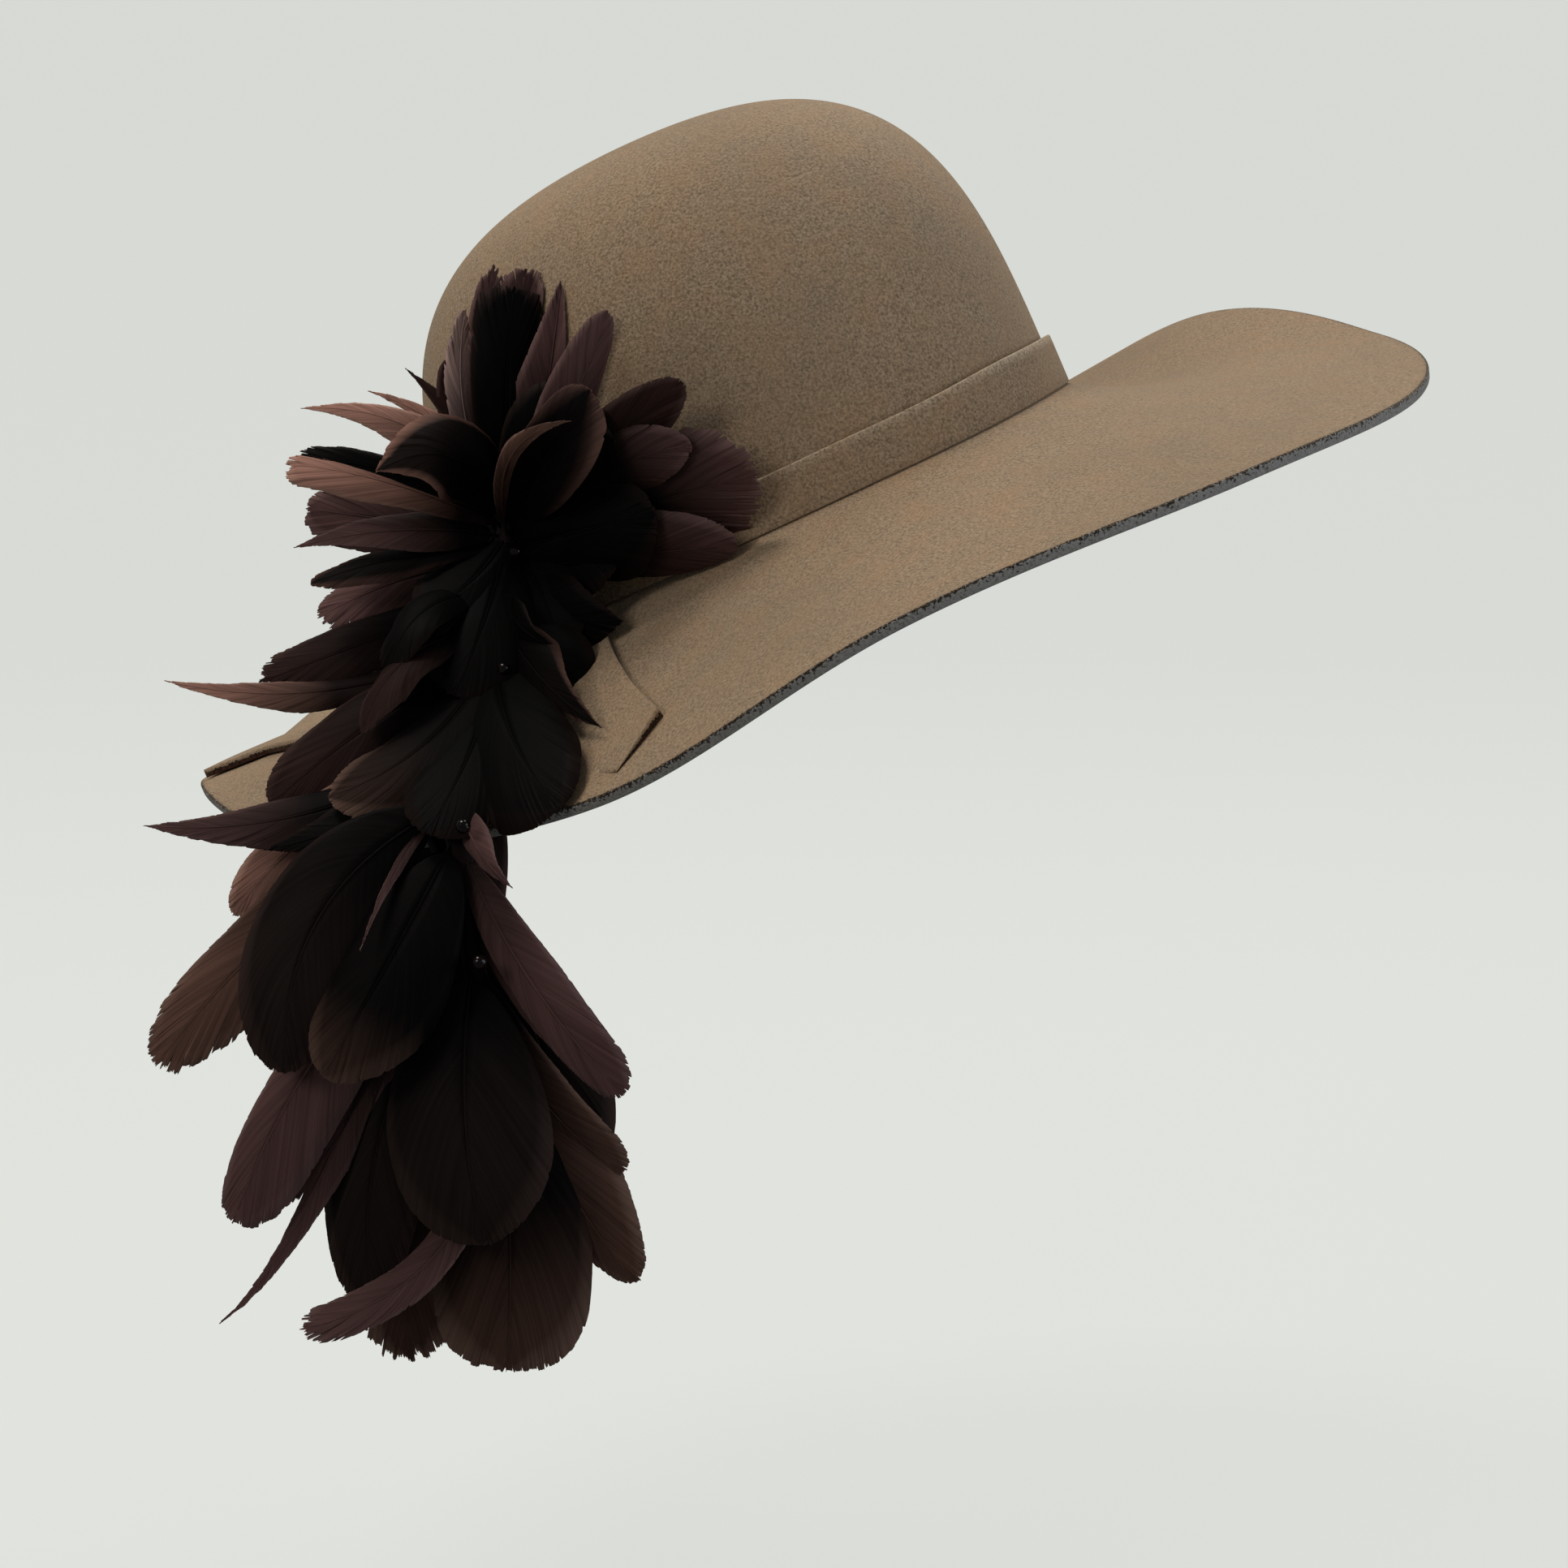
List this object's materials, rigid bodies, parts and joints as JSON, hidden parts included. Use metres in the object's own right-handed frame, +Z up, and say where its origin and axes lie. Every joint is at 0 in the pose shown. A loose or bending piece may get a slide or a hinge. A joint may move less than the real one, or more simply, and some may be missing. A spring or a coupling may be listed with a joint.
{
  "type": "wide-brimmed felt hat with feather cascade",
  "caption": "Tilted wide-brimmed tan felt hat with a plain felt band and a hanging cascade of dark goose feathers at the wearer's right.",
  "frame": {"origin": "middle of the head opening, where the crown meets the brim", "axes": "+Z up, the wearer faces -Y and the wearer's right is -X; the hat leans about 24 degrees to the wearer's right and back, as it is worn"},
  "size_m": [0.3889, 0.398, 0.3361],
  "materials": {
    "tan_felt": "brushed wool felt with a fine nap",
    "dyed_feather": "dyed goose feather with a soft sheen",
    "dark_glass": "polished faceted glass"
  },
  "bodies": {
    "root": {"felt_hat": "tan_felt", "hat_band": "tan_felt", "felt_tie": "tan_felt", "feather_cascade": "dyed_feather", "bead_crown": "dark_glass", "bead_brim": "dark_glass", "bead_edge": "dark_glass", "bead_tail": "dark_glass"}
  },
  "joints": []
}
